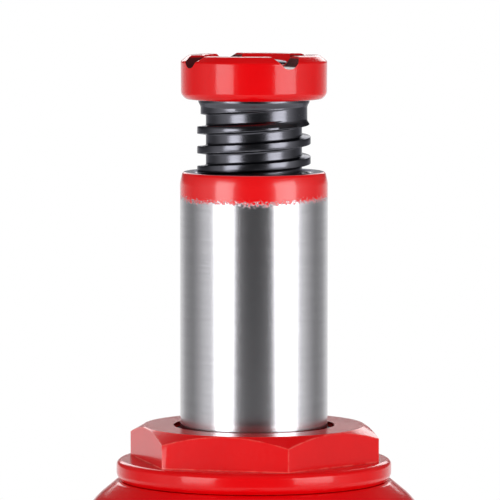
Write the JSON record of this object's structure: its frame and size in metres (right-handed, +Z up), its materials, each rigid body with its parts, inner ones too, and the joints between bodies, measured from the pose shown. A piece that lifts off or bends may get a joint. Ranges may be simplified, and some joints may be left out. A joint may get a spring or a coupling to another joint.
{
  "type": "bottle jack",
  "caption": "Hydraulic bottle jack: a steel ram with a screw-out saddle rises from a sealed reservoir, pumped by a socketed lever on its base.",
  "frame": {"origin": "on the ram's axis, on the underside of the base", "axes": "+Z up along the ram, -Y towards the pump, +X to the right seen from the pump"},
  "size_m": [0.135, 0.2361, 0.3291],
  "materials": {
    "red_paint": "bright red gloss enamel over cast and turned steel",
    "black_oxide": "black oxide on machined steel",
    "ground_steel": "fine ground bare steel",
    "steel": "machined steel",
    "zinc": "bright zinc plating",
    "copper": "soft copper washer",
    "bronze": "sintered bronze",
    "rubber": "matt black nitrile rubber",
    "nylon": "natural nylon",
    "urethane": "blue urethane seal"
  },
  "bodies": {
    "jack_body": {"base": "red_paint", "cylinder_seat_washer": "copper", "pressure_cylinder": "steel", "reservoir_base_gasket": "rubber", "reservoir_casing": "red_paint", "top_nut": "red_paint", "top_nut_gasket": "rubber", "ram_wiper": "rubber", "ram_rod_seal": "urethane", "ram_guide_bush": "bronze", "pump_barrel": "red_paint", "pump_barrel_washer": "copper", "pump_gland_nut": "zinc", "pump_wiper": "rubber", "intake_filter": "bronze", "link_plate_right": "zinc", "link_plate_left": "zinc", "link_base_pin": "zinc", "link_base_pin_clip": "black_oxide", "fulcrum_pin": "zinc", "fulcrum_pin_clip": "black_oxide", "release_gland_nut": "zinc", "delivery_plug": "zinc", "delivery_spring": "steel", "relief_plug": "zinc", "relief_adjusting_screw": "steel", "relief_spring": "steel", "bail_ear_right": "red_paint", "bail_ear_left": "red_paint"},
    "ram": {"ram": "ground_steel", "piston_head": "steel", "piston_seal": "urethane", "piston_backup_ring": "nylon", "piston_nut": "zinc"},
    "screw_slider": {"screw_stop_ring": "zinc"},
    "screw": {"extension_screw": "black_oxide"},
    "saddle": {"saddle": "red_paint"},
    "plunger": {"pump_plunger": "ground_steel", "plunger_seal": "urethane", "plunger_backup_ring": "nylon"},
    "handle_socket": {"handle_socket": "red_paint", "plunger_pin": "zinc", "plunger_pin_clip": "black_oxide"},
    "release_ball": {"release_ball": "ground_steel"},
    "release_stem": {"release_valve_stem": "black_oxide", "release_stem_oring": "rubber"},
    "intake_ball": {"intake_ball": "ground_steel"},
    "delivery_ball": {"delivery_ball": "ground_steel"},
    "relief_ball": {"relief_ball": "ground_steel"},
    "filler_plug": {"filler_plug": "rubber"},
    "carrying_handle": {"carrying_bail": "black_oxide", "bail_grip": "rubber"}
  },
  "joints": [
    {"name": "ram_lift", "type": "slide", "parent": "jack_body", "child": "ram", "axis": [0, 0, 1], "range_m": [-0.0725, 0.0725]},
    {"name": "screw_extend", "type": "slide", "parent": "ram", "child": "screw_slider", "axis": [0, 0, 1], "range_m": [-0.0146, 0.0454]},
    {"name": "screw_turn", "type": "hinge", "parent": "screw_slider", "child": "screw", "pos_m": [0, 0, 0.25], "axis": [0, 0, 1], "range_deg": [-876, 2724]},
    {"name": "saddle_swivel", "type": "hinge", "parent": "screw", "child": "saddle", "pos_m": [0, 0, 0.3157], "axis": [0, 0, 1], "continuous": true},
    {"name": "handle_swing", "type": "hinge", "parent": "jack_body", "child": "handle_socket", "pos_m": [0, -0.062, 0.11787], "axis": [-1, 0, 0], "range_deg": [0, 40]},
    {"name": "plunger_stroke", "type": "slide", "parent": "jack_body", "child": "plunger", "axis": [0, 0, 1], "range_m": [0, 0.01985]},
    {"name": "release_ball_lift", "type": "slide", "parent": "jack_body", "child": "release_ball", "axis": [0, -1, 0], "range_m": [0, 0.00225]},
    {"name": "release_turn", "type": "hinge", "parent": "release_ball", "child": "release_stem", "pos_m": [0.025, -0.12, 0.012], "axis": [0, -1, 0], "range_deg": [0, 540]},
    {"name": "intake_ball_lift", "type": "slide", "parent": "jack_body", "child": "intake_ball", "axis": [0, 0, 1], "range_m": [0, 0.0015]},
    {"name": "delivery_ball_lift", "type": "slide", "parent": "jack_body", "child": "delivery_ball", "axis": [0, -1, 0], "range_m": [0, 0.0015], "stiffness_N_per_m": 200, "deforming": ["delivery_spring"]},
    {"name": "relief_ball_lift", "type": "slide", "parent": "jack_body", "child": "relief_ball", "axis": [-1, 0, 0], "range_m": [0, 0.001], "stiffness_N_per_m": 2000, "deforming": ["relief_spring"]},
    {"name": "filler_plug_pull", "type": "slide", "parent": "jack_body", "child": "filler_plug", "axis": [-1, 0, 0], "range_m": [0, 0.02]},
    {"name": "carrying_handle_swing", "type": "hinge", "parent": "jack_body", "child": "carrying_handle", "pos_m": [0, 0.06, 0.15], "axis": [1, 0, 0], "range_deg": [0, 175]}
  ],
  "couplings": [
    {"joint": "screw_extend", "follows": "screw_turn", "m_per_rad": 0.00095493},
    {"joint": "plunger_stroke", "follows": "handle_swing", "m_per_rad": 0.028288},
    {"joint": "release_turn", "follows": "release_ball_lift", "rad_per_m": 4188.8}
  ]
}
